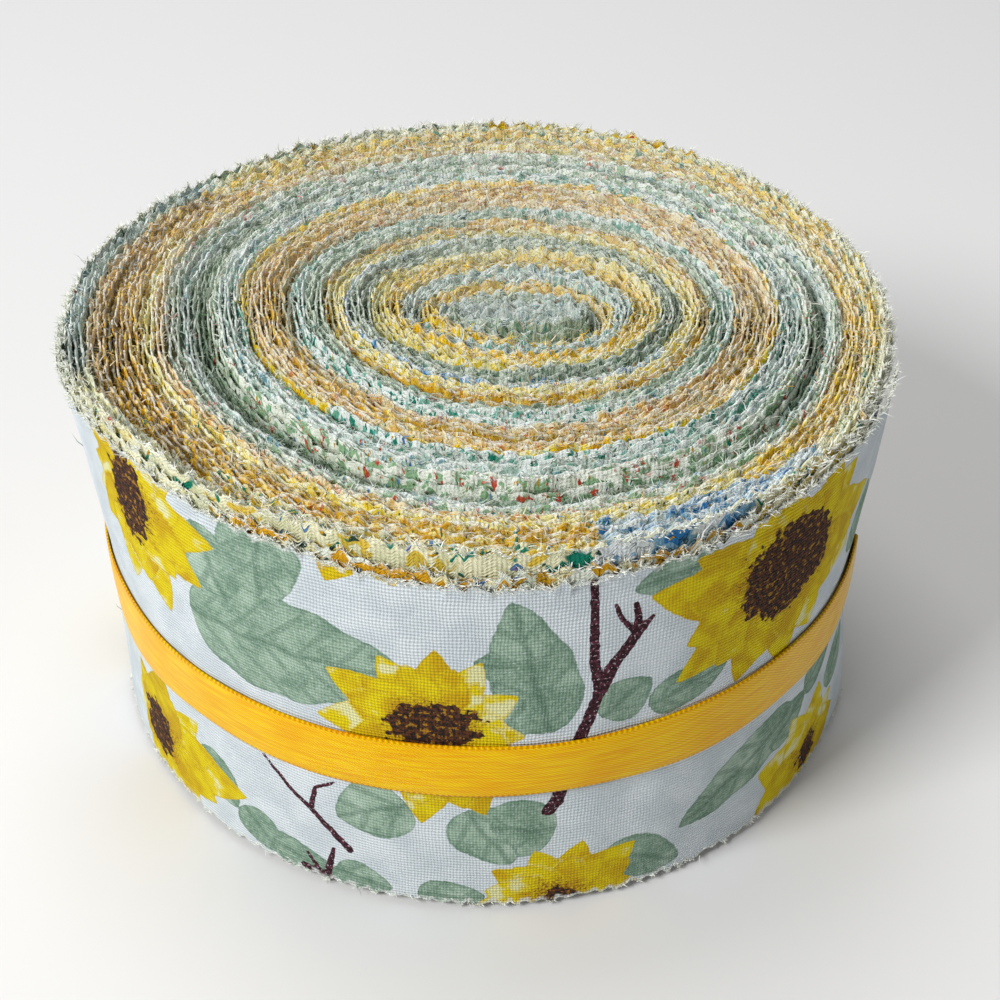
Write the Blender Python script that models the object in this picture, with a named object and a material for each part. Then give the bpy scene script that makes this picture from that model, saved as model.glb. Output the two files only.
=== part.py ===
# Roll of precut cotton strips, tied round its middle with a satin ribbon.
# Metres, +Z up. The roll stands on its strip edges at z = 0, with its outline's centre on the
# Z axis. Azimuths are in degrees: 0 is the front (-Y), 90 is the right (+X). Seen from above
# the strips wind outwards anticlockwise.
import math

import bmesh
import bpy

# Driving dimensions
STRIP_WIDTH = 0.0635
ROLL_RADIUS = 0.0595
RIBBON_WIDTH = 0.0095
RIBBON_HEIGHT = 0.0293
SHEET_THICKNESS = 0.001
CLEARANCE = 0.0003
MM = 0.001

# The outermost strip ends here, and its loose end runs on over the turn below
END_AZIMUTH = 60.0
LOOSE_END_ARC = 15.0
LOOSE_END_GAP_ARC = 0.4
LOOSE_END_BULGE = 0.9 * MM
LOOSE_END_FLARE = 0.8 * MM

# Fineness
COLUMNS = 96
ROWS_IN_TWIST = 3

# The roll's wall, in millimetres out from ROLL_RADIUS: the ribbon draws the cloth in. Then the
# height of the outermost strip's upper edge above STRIP_WIDTH, and how far the turn just inside
# it stands proud of the upper face, in millimetres
# azimuth, rim, shoulder, waist, foot, edge, proud
WALL = (
    (-165, -1.5, -1.0, -1.1, -1.4, -0.2, 0.8),
    (-140, -0.5, 0.0, -0.9, -1.0, 0.1, 0.8),
    (-115, 1.3, 1.0, -0.8, -0.8, 0.2, 0.9),
    (-95, 2.3, 1.2, -0.9, -0.6, 0.2, 1.2),
    (-75, 2.0, 0.5, -1.0, -0.5, 0.6, 2.0),
    (-50, 0.2, 0.0, -0.8, -0.9, 2.4, 2.4),
    (-30, 0.0, 0.1, -0.7, -1.0, 1.5, 2.2),
    (0, 0.2, 0.1, -0.6, -1.0, -1.1, 2.6),
    (25, 0.1, 0.1, -0.6, -1.0, -0.3, 2.4),
    (50, 0.1, -0.4, -1.2, -1.0, 1.7, 1.8),
    (75, -0.2, -1.6, -2.4, -0.9, 1.0, 1.2),
    (100, 0.3, -0.6, -1.4, -1.0, 0.0, 0.6),
    (130, -0.2, 0.2, -0.9, -1.2, 0.1, 0.8),
    (165, -0.6, -0.4, -0.9, -1.4, -0.2, 0.8),
)
RIM, SHOULDER, WAIST, FOOT, EDGE, PROUD = range(1, 7)

# The one deep valley between two bundles of turns: its distance from the axis, as a share of
# ROLL_RADIUS, and how deep it is in millimetres
# azimuth, distance, depth
VALLEY = (
    (-150, 0.72, 1.0),
    (-110, 0.74, 2.0),
    (-80, 0.69, 2.8),
    (-45, 0.67, 3.0),
    (-15, 0.71, 2.6),
    (15, 0.755, 2.2),
    (50, 0.81, 2.4),
    (90, 0.83, 2.2),
    (130, 0.79, 1.2),
    (170, 0.74, 0.8),
)
VALLEY_SHARE = 0.72

# The flattened core, as shares of ROLL_RADIUS
CORE_CENTRE = (0.085, -0.035)
CORE_HALF_LENGTH = 0.19
CORE_HALF_DEPTH = 0.085
CORE_SHARE = 0.17
SLIT_HALF_LENGTH = 0.11
SLIT_HALF_DEPTH = 0.006
CORE_GAP_DEPTH = 4.0 * MM
CORE_GAP_MIDDLE = 45.0
CORE_GAP_HALF_ARC = 105.0

# Where each main twist of the roll starts, from the core outwards, as a share of the way out
TWIST_LINES = (0.035, 0.1, CORE_SHARE, 0.26, 0.36, 0.46, 0.56, 0.64, VALLEY_SHARE, 0.79, 0.86, 0.925, 0.972, 1.0)
# Where a twist's rows lie across it, and how high they are above its groove, in millimetres
# place, rise
TWIST_ROWS = ((0.0, 0.0), (0.32, 0.9), (0.74, 0.8))

# The upper face from the core to the rim, in millimetres above STRIP_WIDTH
# share of the way out, height
UPPER_FACE = (
    (0.0, 0.2),
    (0.1, 1.0),
    (0.3, 1.7),
    (0.55, 1.5),
    (0.8, 0.6),
    (0.93, 0.3),
    (1.0, 0.0),
)
# From EDGE_STARTS outwards the upper face follows the outermost strip's edge
EDGE_STARTS = 0.86
PROUD_TURN_SHARE = 0.965


def wrapped(azimuth):
    return (azimuth + 180) % 360 - 180


def around(table, azimuth, column):
    # A column of a table at an azimuth, eased between its rows and closed on itself
    azimuth = wrapped(azimuth)
    rows = list(table)
    rows.append((rows[0][0] + 360,) + tuple(rows[0][1:]))
    if azimuth < rows[0][0]:
        azimuth += 360
    for low, high in zip(rows, rows[1:]):
        if azimuth <= high[0]:
            share = (azimuth - low[0]) / (high[0] - low[0])
            ease = share * share * (3 - 2 * share)
            return low[column] + (high[column] - low[column]) * ease
    return rows[-1][column]


def along(table, place):
    # A two-column table read at a place between its rows
    for low, high in zip(table, table[1:]):
        if place <= high[0]:
            return low[1] + (high[1] - low[1]) * (place - low[0]) / (high[0] - low[0])
    return table[-1][1]


def ribbon_middle(azimuth):
    # The ribbon sags a little on the left and at the back
    return RIBBON_HEIGHT + 1.1 * MM * math.sin(math.radians(azimuth - 5))


def wall_radius(azimuth, height):
    # The wall's distance from the axis: foot, waist under the ribbon, shoulder, rim
    waist = ribbon_middle(azimuth)
    half = RIBBON_WIDTH / 2
    heights = (
        (0.0, FOOT),
        (waist - half, WAIST),
        (waist + half, WAIST),
        (STRIP_WIDTH * 0.78, SHOULDER),
        (STRIP_WIDTH, RIM),
    )
    offsets = [(level, around(WALL, azimuth, column)) for level, column in heights]
    return ROLL_RADIUS + along(offsets, max(0.0, height)) * MM


def ring_point(azimuth, share, height):
    # A point of the nested rings: slit, flattened core, valley, outer wall
    turn = math.radians(azimuth)
    side, front = math.sin(turn), -math.cos(turn)
    centre = [ROLL_RADIUS * value for value in CORE_CENTRE]
    slit = (
        centre[0] + ROLL_RADIUS * SLIT_HALF_LENGTH * side,
        centre[1] + ROLL_RADIUS * SLIT_HALF_DEPTH * front,
    )
    core = (
        centre[0] + ROLL_RADIUS * CORE_HALF_LENGTH * side,
        centre[1] + ROLL_RADIUS * CORE_HALF_DEPTH * front,
    )
    valley = ROLL_RADIUS * around(VALLEY, azimuth, 1)
    wall = wall_radius(azimuth, height)
    rings = (
        (0.0, slit),
        (CORE_SHARE, core),
        (VALLEY_SHARE, (valley * side, valley * front)),
        (1.0, (wall * side, wall * front)),
    )
    x = along([(place, point[0]) for place, point in rings], share)
    y = along([(place, point[1]) for place, point in rings], share)
    return x, y


def twist_share(turns):
    # How far out the spiral is after a number of turns
    lines = [(index, share) for index, share in enumerate(TWIST_LINES)]
    return along(lines, turns)


def near(value, middle, half_width):
    # 1 at the middle, easing to 0 at half_width away
    share = max(0.0, 1 - abs(value - middle) / half_width)
    return share * share * (3 - 2 * share)


def face_height(azimuth, share, rise):
    # The upper face's height, with the valley, the gap in the core and the proud outer turn
    level = along(UPPER_FACE, share) * MM
    level += rise * MM * min(1.0, (1.0 - share) / 0.1)
    level -= around(VALLEY, azimuth, 2) * MM * near(share, VALLEY_SHARE, 0.045)
    gap = near(wrapped(azimuth - CORE_GAP_MIDDLE), 0.0, CORE_GAP_HALF_ARC)
    level -= CORE_GAP_DEPTH * gap * near(share, CORE_SHARE, 0.06)
    edge = around(WALL, azimuth, EDGE) * MM
    outer = max(0.0, share - EDGE_STARTS) / (1 - EDGE_STARTS)
    level += edge * outer
    level += around(WALL, azimuth, PROUD) * MM * near(share, PROUD_TURN_SHARE, 0.032)
    return STRIP_WIDTH + level


def material(name, colour, roughness):
    made = bpy.data.materials.new(name)
    made.use_nodes = True
    shader = made.node_tree.nodes["Principled BSDF"]
    shader.inputs["Base Color"].default_value = (*colour, 1.0)
    shader.inputs["Roughness"].default_value = roughness
    shader.inputs["Metallic"].default_value = 0.0
    return made


def finished(mesh, name, look):
    # A closed mesh becomes one object, faces out, round places smooth
    bmesh.ops.recalc_face_normals(mesh, faces=mesh.faces)
    data = bpy.data.meshes.new(name)
    mesh.to_mesh(data)
    mesh.free()
    data.shade_smooth()
    data.set_sharp_from_angle(angle=math.radians(35))
    data.materials.append(look)
    made = bpy.data.objects.new(name, data)
    bpy.context.collection.objects.link(made)
    return made


def wound_roll():
    # One solid. Its rows run round it as a spiral: row r at the end of a turn is row
    # r + ROWS_IN_TWIST at the start of the next.
    mesh = bmesh.new()
    turns = len(TWIST_LINES) - 1
    last_row = (turns - 1) * ROWS_IN_TWIST
    grid = {}
    shares = {}

    def place(row, column):
        offset, rise = TWIST_ROWS[row % ROWS_IN_TWIST]
        azimuth = END_AZIMUTH + 360 * column / COLUMNS
        share = twist_share(row // ROWS_IN_TWIST + offset + column / COLUMNS)
        height = face_height(azimuth, share, rise)
        x, y = ring_point(azimuth, share, height)
        shares[row, column] = share
        return mesh.verts.new((x, y, height))

    for column in range(COLUMNS):
        rows = last_row + (ROWS_IN_TWIST if column == 0 else 0)
        for row in range(rows + 1):
            grid[row, column] = place(row, column)

    def vertex(row, column):
        if column == COLUMNS:
            return grid[row + ROWS_IN_TWIST, 0]
        return grid[row, column]

    for column in range(COLUMNS):
        for row in range(last_row):
            mesh.faces.new(
                (vertex(row, column), vertex(row, column + 1), vertex(row + 1, column + 1), vertex(row + 1, column))
            )

    # The eye of the core, and the step where its first turn starts
    middle = mesh.verts.new((ROLL_RADIUS * CORE_CENTRE[0], ROLL_RADIUS * CORE_CENTRE[1], STRIP_WIDTH))
    inner = [vertex(0, column) for column in range(COLUMNS)]
    inner += [grid[row, 0] for row in range(ROWS_IN_TWIST, 0, -1)]
    for first, second in zip(inner, inner[1:] + inner[:1]):
        mesh.faces.new((middle, first, second))

    # The wall goes down from the outer row, and down the step at the strip's end
    rim = [(last_row, column) for column in range(COLUMNS)]
    rim += [(last_row + row, 0) for row in range(ROWS_IN_TWIST, 0, -1)]
    loops = [[grid[key] for key in rim]]
    half = RIBBON_WIDTH / 2
    for level in (0.93, 0.78, 0.62, "ribbon top", "ribbon foot", 0.2, 0.02, 0.0):
        loop = []
        for row, column in rim:
            azimuth = END_AZIMUTH + 360 * column / COLUMNS
            if level == "ribbon top":
                height = ribbon_middle(azimuth) + half
            elif level == "ribbon foot":
                height = ribbon_middle(azimuth) - half
            else:
                height = STRIP_WIDTH * level
            x, y = ring_point(azimuth, shares[row, column], height)
            loop.append(mesh.verts.new((x, y, height)))
        loops.append(loop)
    for upper, lower in zip(loops, loops[1:]):
        for index in range(len(rim)):
            after = (index + 1) % len(rim)
            mesh.faces.new((upper[index], upper[after], lower[after], lower[index]))
    mesh.faces.new(loops[-1])
    return finished(mesh, "wound_roll", material("printed_cotton", (0.72, 0.74, 0.55), 0.85))


def strip_radius(azimuth, height):
    # The wall's own radius, where its last turn is still rising to full size
    turned = ((azimuth - END_AZIMUTH) % 360) / 360
    turns = len(TWIST_LINES) - 1
    share = twist_share(turns - 1 + turned)
    x, y = ring_point(azimuth, share, height)
    return math.hypot(x, y)


def at(azimuth, radius, height):
    turn = math.radians(azimuth)
    return radius * math.sin(turn), -radius * math.cos(turn), height


def loose_end():
    # The last stretch of the outermost strip, lying on the turn below. The ribbon holds it, and
    # its cut edge bulges off the roll above the ribbon and flares below it.
    mesh = bmesh.new()
    step = 360 / COLUMNS
    first = END_AZIMUTH + LOOSE_END_GAP_ARC
    azimuths = [first] + [END_AZIMUTH + step * index for index in range(1, int(LOOSE_END_ARC / step) + 1)]
    levels = (0.006, 0.2, "foot", "top", 0.62, 0.78, 0.93, 1.0)
    half = RIBBON_WIDTH / 2
    sides = []
    for outward in (CLEARANCE, CLEARANCE + SHEET_THICKNESS):
        rows = []
        for level in levels:
            row = []
            for azimuth in azimuths:
                reach = (azimuth - first) / (azimuths[-1] - first)
                middle = ribbon_middle(azimuth)
                if level == "foot":
                    height = middle - half
                elif level == "top":
                    height = middle + half
                else:
                    height = STRIP_WIDTH * level
                above = (height - middle - half) / (STRIP_WIDTH - middle - half)
                below = (middle - half - height) / (middle - half)
                lift = LOOSE_END_BULGE * math.sin(math.pi * min(1.0, max(0.0, above)))
                lift += LOOSE_END_FLARE * max(0.0, below)
                radius = strip_radius(azimuth, height) + outward + lift * reach * reach
                if level == 1.0:
                    height += around(WALL, azimuth, EDGE) * MM
                row.append(mesh.verts.new(at(azimuth, radius, height)))
            rows.append(row)
        sides.append(rows)
    inner, outer = sides
    for side in sides:
        for low, high in zip(side, side[1:]):
            for index in range(len(azimuths) - 1):
                mesh.faces.new((low[index], low[index + 1], high[index + 1], high[index]))
    edge_in = inner[0] + [row[-1] for row in inner[1:]] + inner[-1][-2::-1] + [row[0] for row in inner[-2:0:-1]]
    edge_out = outer[0] + [row[-1] for row in outer[1:]] + outer[-1][-2::-1] + [row[0] for row in outer[-2:0:-1]]
    for index in range(len(edge_in)):
        after = (index + 1) % len(edge_in)
        mesh.faces.new((edge_in[index], edge_in[after], edge_out[after], edge_out[index]))
    return finished(mesh, "loose_end", material("printed_cotton_end", (0.74, 0.76, 0.6), 0.85))


# What lifts the ribbon off the wall, in millimetres: the loose end under it
# azimuth, lift
RIBBON_LIFT = (
    (48, 0.0),
    (57, 1.35),
    (77, 1.35),
    (92, 0.0),
)
# The ribbon's own ends lie over each other at the back
LAP_MIDDLE = 180.0
LAP_HALF_ARC = 11.0


def ribbon():
    # A closed band round the waist, doubled where its ends lap
    mesh = bmesh.new()
    half = RIBBON_WIDTH / 2
    loops = [[], [], [], []]
    for column in range(COLUMNS):
        azimuth = END_AZIMUTH + 360 * column / COLUMNS
        turned = wrapped(azimuth)
        lift = along(((-180, 0.0),) + RIBBON_LIFT, turned) * MM if turned < RIBBON_LIFT[-1][0] else 0.0
        middle = ribbon_middle(azimuth)
        lap = abs(wrapped(azimuth - LAP_MIDDLE)) < LAP_HALF_ARC
        thick = SHEET_THICKNESS * (1.7 if lap else 1.0)
        low, high = middle - half, middle + half
        base_low = strip_radius(azimuth, low) + CLEARANCE + lift
        base_high = strip_radius(azimuth, high) + CLEARANCE + lift
        corners = ((base_low, low), (base_high, high), (base_high + thick, high), (base_low + thick, low))
        for loop, (radius, height) in zip(loops, corners):
            loop.append(mesh.verts.new(at(azimuth, radius, height)))
    for first, second in zip(loops, loops[1:] + loops[:1]):
        for index in range(COLUMNS):
            after = (index + 1) % COLUMNS
            mesh.faces.new((first[index], first[after], second[after], second[index]))
    return finished(mesh, "ribbon", material("yellow_satin", (0.93, 0.58, 0.02), 0.35))


for old in list(bpy.data.objects):
    bpy.data.objects.remove(old)
wound_roll()
loose_end()
ribbon()
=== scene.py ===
# Roll of precut cotton strips tied with a satin ribbon: the fine turns, the printed outer strip,
# frayed threads, materials, light and camera. Metres, +Z up. Azimuth 0 is the front, 90 the right.
import math

import bpy
import numpy as np
from mathutils import Matrix, Vector


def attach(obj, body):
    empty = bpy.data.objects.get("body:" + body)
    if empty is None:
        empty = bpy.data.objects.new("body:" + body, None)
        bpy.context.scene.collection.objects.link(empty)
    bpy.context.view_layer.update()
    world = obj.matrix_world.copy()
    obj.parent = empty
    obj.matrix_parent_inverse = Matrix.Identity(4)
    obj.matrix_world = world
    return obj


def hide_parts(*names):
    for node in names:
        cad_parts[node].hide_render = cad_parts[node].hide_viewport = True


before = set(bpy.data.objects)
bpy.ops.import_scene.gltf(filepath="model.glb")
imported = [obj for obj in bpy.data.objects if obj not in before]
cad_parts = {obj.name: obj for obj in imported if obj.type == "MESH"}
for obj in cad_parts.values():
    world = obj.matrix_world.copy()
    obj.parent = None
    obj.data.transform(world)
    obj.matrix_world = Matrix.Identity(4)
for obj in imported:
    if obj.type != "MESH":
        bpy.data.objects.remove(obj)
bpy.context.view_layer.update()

# Shape of the roll, the same values as in the part's source
mm = 0.001
stripWidth = 0.0635
rollRadius = 0.0595
ribbonWidth = 0.0095
ribbonHeight = 0.0293
endAzimuth = 60.0

# azimuth, rim, shoulder, waist, foot, edge, proud (mm)
wallRows = (
    (-165, -1.5, -1.0, -1.1, -1.4, -0.2, 0.8),
    (-140, -0.5, 0.0, -0.9, -1.0, 0.1, 0.8),
    (-115, 1.3, 1.0, -0.8, -0.8, 0.2, 0.9),
    (-95, 2.3, 1.2, -0.9, -0.6, 0.2, 1.2),
    (-75, 2.0, 0.5, -1.0, -0.5, 0.6, 2.0),
    (-50, 0.2, 0.0, -0.8, -0.9, 2.4, 2.4),
    (-30, 0.0, 0.1, -0.7, -1.0, 1.5, 2.2),
    (0, 0.2, 0.1, -0.6, -1.0, -1.1, 2.6),
    (25, 0.1, 0.1, -0.6, -1.0, -0.3, 2.4),
    (50, 0.1, -0.4, -1.2, -1.0, 1.7, 1.8),
    (75, -0.2, -1.6, -2.4, -0.9, 1.0, 1.2),
    (100, 0.3, -0.6, -1.4, -1.0, 0.0, 0.6),
    (130, -0.2, 0.2, -0.9, -1.2, 0.1, 0.8),
    (165, -0.6, -0.4, -0.9, -1.4, -0.2, 0.8),
)
# azimuth, distance as a share of the radius, depth (mm)
valleyRows = (
    (-150, 0.72, 1.0),
    (-110, 0.74, 2.0),
    (-80, 0.69, 2.8),
    (-45, 0.67, 3.0),
    (-15, 0.71, 2.6),
    (15, 0.755, 2.2),
    (50, 0.81, 2.4),
    (90, 0.83, 2.2),
    (130, 0.79, 1.2),
    (170, 0.74, 0.8),
)
core = {
    "centre": (0.085, -0.035),
    "halfLength": 0.19,
    "halfDepth": 0.085,
    "share": 0.17,
    "slitLength": 0.11,
    "slitDepth": 0.006,
    "gapDepth": 4.0 * mm,
    "gapMiddle": 45.0,
    "gapHalfArc": 105.0,
}
valleyShare = 0.72
twistLines = (0.035, 0.1, 0.17, 0.26, 0.36, 0.46, 0.56, 0.64, 0.72, 0.79, 0.86, 0.925, 0.972, 1.0)
faceShares = (0.0, 0.1, 0.3, 0.55, 0.8, 0.93, 1.0)
faceHeights = (0.2, 1.0, 1.7, 1.5, 0.6, 0.3, 0.0)


def mix(first, second, share):
    return first + (second - first) * share


def ease(share):
    share = np.clip(share, 0.0, 1.0)
    return share * share * (3 - 2 * share)


def near(value, middle, half):
    return ease(1 - np.abs(value - middle) / half)


def wrapped(azimuth):
    return (azimuth + 180.0) % 360.0 - 180.0


def around(rows, azimuth):
    # All columns of a table at the azimuths, eased between rows and closed on itself
    table = np.array(rows, float)
    again = table[:1].copy()
    again[0, 0] += 360
    table = np.vstack([table, again])
    turned = (np.asarray(azimuth, float) - table[0, 0]) % 360 + table[0, 0]
    low = np.clip(np.searchsorted(table[:, 0], turned, side="right") - 1, 0, len(table) - 2)
    share = (turned - table[low, 0]) / (table[low + 1, 0] - table[low, 0])
    return mix(table[low, 1:], table[low + 1, 1:], ease(share)[..., None])


def ribbonMiddle(azimuth):
    return ribbonHeight + 1.1 * mm * np.sin(np.radians(azimuth - 5))


def wallRadius(azimuth, height):
    # Foot, waist under the ribbon, shoulder, rim
    rows = around(wallRows, azimuth)
    rim, shoulder, waist, foot = rows[..., 0], rows[..., 1], rows[..., 2], rows[..., 3]
    low = ribbonMiddle(azimuth) - ribbonWidth / 2
    high = low + ribbonWidth
    top = stripWidth * 0.78
    offset = mix(foot, waist, np.clip(height / low, 0, 1))
    offset = mix(offset, shoulder, np.clip((height - high) / (top - high), 0, 1))
    offset = mix(offset, rim, np.clip((height - top) / (stripWidth - top), 0, 1))
    return rollRadius + offset * mm


def ringPoint(azimuth, share, height):
    # Nested rings: slit, flattened core, valley, outer wall
    turn = np.radians(azimuth)
    side, front = np.sin(turn), -np.cos(turn)
    valley = rollRadius * around(valleyRows, azimuth)[..., 0]
    wall = wallRadius(azimuth, height)
    inner = np.clip(share / core["share"], 0, 1)
    middle = np.clip((share - core["share"]) / (valleyShare - core["share"]), 0, 1)
    outer = np.clip((share - valleyShare) / (1 - valleyShare), 0, None)
    reach = rollRadius * mix(core["slitLength"], core["halfLength"], inner)
    depth = rollRadius * mix(core["slitDepth"], core["halfDepth"], inner)
    x = rollRadius * core["centre"][0] + reach * side
    y = rollRadius * core["centre"][1] + depth * front
    x = mix(mix(x, valley * side, middle), wall * side, outer)
    y = mix(mix(y, valley * front, middle), wall * front, outer)
    return x, y


def twistRise(azimuth, share):
    # The shallow groove between one main twist and the next
    turns = np.interp(share, twistLines, np.arange(len(twistLines)))
    place = (turns - (azimuth - endAzimuth) / 360) % 1.0
    return np.interp(place, (0.0, 0.32, 0.74, 1.0), (0.0, 0.9, 0.8, 0.0))


def faceHeight(azimuth, share):
    rows = around(wallRows, azimuth)
    level = np.interp(share, faceShares, faceHeights)
    level = level + twistRise(azimuth, share) * np.clip((1.0 - share) / 0.1, 0, 1)
    level -= around(valleyRows, azimuth)[..., 1] * near(share, valleyShare, 0.045)
    gap = near(wrapped(azimuth - core["gapMiddle"]), 0.0, core["gapHalfArc"])
    level -= core["gapDepth"] / mm * gap * near(share, core["share"], 0.06)
    level += rows[..., 4] * np.clip((share - 0.86) / 0.14, 0, None)
    level += rows[..., 5] * near(share, 0.965, 0.032)
    return stripWidth + level * mm


def hollowShadeAt(azimuth, share):
    # How much painted shade darkens a place on the upper face: the valley, the core's gap and the twists'
    # grooves
    depth = around(valleyRows, azimuth)[..., 1] / 3.0
    shaded = depth * near(share, valleyShare - 0.008, 0.026)
    gap = near(wrapped(azimuth - core["gapMiddle"]), 0.0, core["gapHalfArc"] * 0.8)
    shaded = np.maximum(shaded, gap * near(share, core["share"] - 0.01, 0.035))
    groove = np.clip(1 - twistRise(azimuth, share) / 0.35, 0, 1) * 0.55
    return np.clip(np.maximum(shaded, groove * (share > 0.2)), 0, 1)


def waves(place, lengths, seed):
    # Smooth unrepeating ripple, about -1 to 1, with the given wavelengths
    random = np.random.default_rng(seed)
    total = np.zeros_like(place)
    for length in lengths:
        turn = 2 * math.pi / (length * random.uniform(0.9, 1.1))
        total += np.sin(place * turn + random.uniform(0, 6.28))
    return total / len(lengths) ** 0.5


def gridFaces(columns, rows, closed=False):
    # Quads over points ordered column by column; closed joins the last row to the first
    across = rows if closed else rows - 1
    column = np.repeat(np.arange(columns - 1), across)
    row = np.tile(np.arange(across), columns - 1)
    after = (row + 1) % rows
    here = column * rows
    beyond = here + rows
    return np.stack([here + row, beyond + row, beyond + after, here + after], axis=1)


triangles = {}


def makePiece(name, points, faces, material, values=None, smooth=True):
    # values: attribute name -> numbers (one each), triples (vector) or fours (colour)
    data = bpy.data.meshes.new(name)
    faces = faces if isinstance(faces, list) else faces.tolist()
    data.from_pydata(points.reshape(-1, 3).tolist(), [], faces)
    kinds = {1: ("FLOAT", "value"), 3: ("FLOAT_VECTOR", "vector"), 4: ("FLOAT_COLOR", "color")}
    for key, numbers in (values or {}).items():
        numbers = np.asarray(numbers, float)
        wide = 1 if numbers.size == len(data.vertices) else numbers.shape[-1]
        kind, field = kinds[wide]
        made = data.attributes.new(key, kind, "POINT")
        made.data.foreach_set(field, numbers.astype(np.float32).ravel())
    data.polygons.foreach_set("use_smooth", np.full(len(data.polygons), smooth))
    data.materials.append(material)
    data.update()
    piece = bpy.data.objects.new(name, data)
    bpy.context.scene.collection.objects.link(piece)
    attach(piece, "root")
    triangles[name] = sum(len(face) - 2 for face in faces)
    return piece


# Shader maths


class Wire:
    # A socket or number that can be used in sums
    def __init__(self, graph, socket):
        self.graph = graph
        self.socket = socket

    def __add__(self, other):
        return self.graph.maths("ADD", self, other)

    def __radd__(self, other):
        return self.graph.maths("ADD", other, self)

    def __sub__(self, other):
        return self.graph.maths("SUBTRACT", self, other)

    def __rsub__(self, other):
        return self.graph.maths("SUBTRACT", other, self)

    def __mul__(self, other):
        return self.graph.maths("MULTIPLY", self, other)

    def __rmul__(self, other):
        return self.graph.maths("MULTIPLY", other, self)

    def __truediv__(self, other):
        return self.graph.maths("DIVIDE", self, other)

    def __abs__(self):
        return self.graph.maths("ABSOLUTE", self)


class Graph:
    # One material and the nodes in it
    def __init__(self, name):
        self.material = bpy.data.materials.new(name)
        self.material.use_nodes = True
        self.tree = self.material.node_tree
        self.tree.nodes.clear()

    def feed(self, socket, value):
        if isinstance(value, str):
            value = hexColour(value)
        if isinstance(value, Wire):
            self.tree.links.new(value.socket, socket)
        elif isinstance(value, (tuple, list)) and len(value) == 3 and socket.type == "RGBA":
            socket.default_value = (*value, 1.0)
        else:
            socket.default_value = value

    def node(self, kind, settings=None, inputs=None, output=0):
        made = self.tree.nodes.new(kind)
        for key, value in (settings or {}).items():
            setattr(made, key, value)
        for key, value in (inputs or {}).items():
            self.feed(made.inputs[key], value)
        return Wire(self, made.outputs[output])

    def maths(self, operation, *values):
        return self.node("ShaderNodeMath", {"operation": operation}, dict(enumerate(values)))

    def sine(self, value):
        return self.maths("SINE", value)

    def larger(self, first, second):
        return self.maths("MAXIMUM", first, second)

    def step(self, value, low, high, start=0.0, end=1.0):
        # Eases from start to end while value goes from low to high
        inputs = {"Value": value, "From Min": low, "From Max": high, "To Min": start, "To Max": end}
        return self.node("ShaderNodeMapRange", {"interpolation_type": "SMOOTHSTEP"}, inputs)

    def mix(self, first, second, share):
        return self.node("ShaderNodeMix", {"data_type": "RGBA"}, {0: share, 6: first, 7: second}, 2)

    def tint(self, colour, share, second):
        settings = {"data_type": "RGBA", "blend_type": "MULTIPLY"}
        return self.node("ShaderNodeMix", settings, {0: share, 6: colour, 7: second}, 2)

    def value(self, name):
        return self.node("ShaderNodeAttribute", {"attribute_name": name}, output="Fac")

    def vector(self, name):
        return self.node("ShaderNodeAttribute", {"attribute_name": name}, output="Vector")

    def colour(self, name):
        return self.node("ShaderNodeAttribute", {"attribute_name": name}, output="Color")

    def axes(self, vector):
        made = self.tree.nodes.new("ShaderNodeSeparateXYZ")
        self.feed(made.inputs[0], vector)
        return [Wire(self, socket) for socket in made.outputs]

    def joined(self, x, y, z):
        return self.node("ShaderNodeCombineXYZ", None, {0: x, 1: y, 2: z})

    def noise(self, vector, scale, detail=2.0, rough=0.5):
        inputs = {"Vector": vector, "Scale": scale, "Detail": detail, "Roughness": rough}
        return self.node("ShaderNodeTexNoise", None, inputs, "Fac")

    def bump(self, height, strength, distance):
        inputs = {"Height": height, "Strength": strength, "Distance": distance}
        return self.node("ShaderNodeBump", None, inputs)

    def finish(self, inputs):
        shader = self.node("ShaderNodeBsdfPrincipled", None, inputs)
        end = self.tree.nodes.new("ShaderNodeOutputMaterial")
        self.feed(end.inputs["Surface"], shader)
        return self.material


def hexColour(text):
    # A screen colour as linear light
    parts = [int(text[index : index + 2], 16) / 255 for index in (0, 2, 4)]
    return tuple(part / 12.92 if part < 0.04045 else ((part + 0.055) / 1.055) ** 2.4 for part in parts)


# The turns' cloths: ground, figure and detail colours, how much figure, how much detail
prints = {
    "paleBlue": ("e4ecea", "a9c4b8", "6f9fae", 0.46, 0.3),
    "butter": ("f2e8a0", "e8cc38", "f8f6dc", 0.5, 0.35),
    "gold": ("e2b838", "c8961a", "f4e08a", 0.5, 0.35),
    "sage": ("d2dcc6", "94b096", "5c8a7a", 0.5, 0.3),
    "greyGreen": ("b4c2ae", "6f8a76", "e0e8d8", 0.5, 0.34),
    "peach": ("ecdcb0", "dcb464", "cc7c44", 0.5, 0.22),
    "whiteTeal": ("e8f0ee", "6ab09e", "1e8270", 0.36, 0.26),
    "creamTeal": ("f1edc8", "e2c24a", "128068", 0.36, 0.34),
    "whiteRed": ("ecf0e4", "90b48c", "c0503c", 0.42, 0.18),
    "cream": ("f2f0cf", "ece2a4", "2f8a72", 0.3, 0.14),
    "brownGold": ("d6a414", "966e06", "f0cc3c", 0.5, 0.3),
    "yellow": ("f4d420", "e8b80c", "f8f0b4", 0.5, 0.32),
    "blueWhite": ("e6edf0", "86b4d4", "2f78b4", 0.42, 0.34),
    "whiteGold": ("eaeee0", "dba41c", "f0e8b8", 0.46, 0.3),
}
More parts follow.
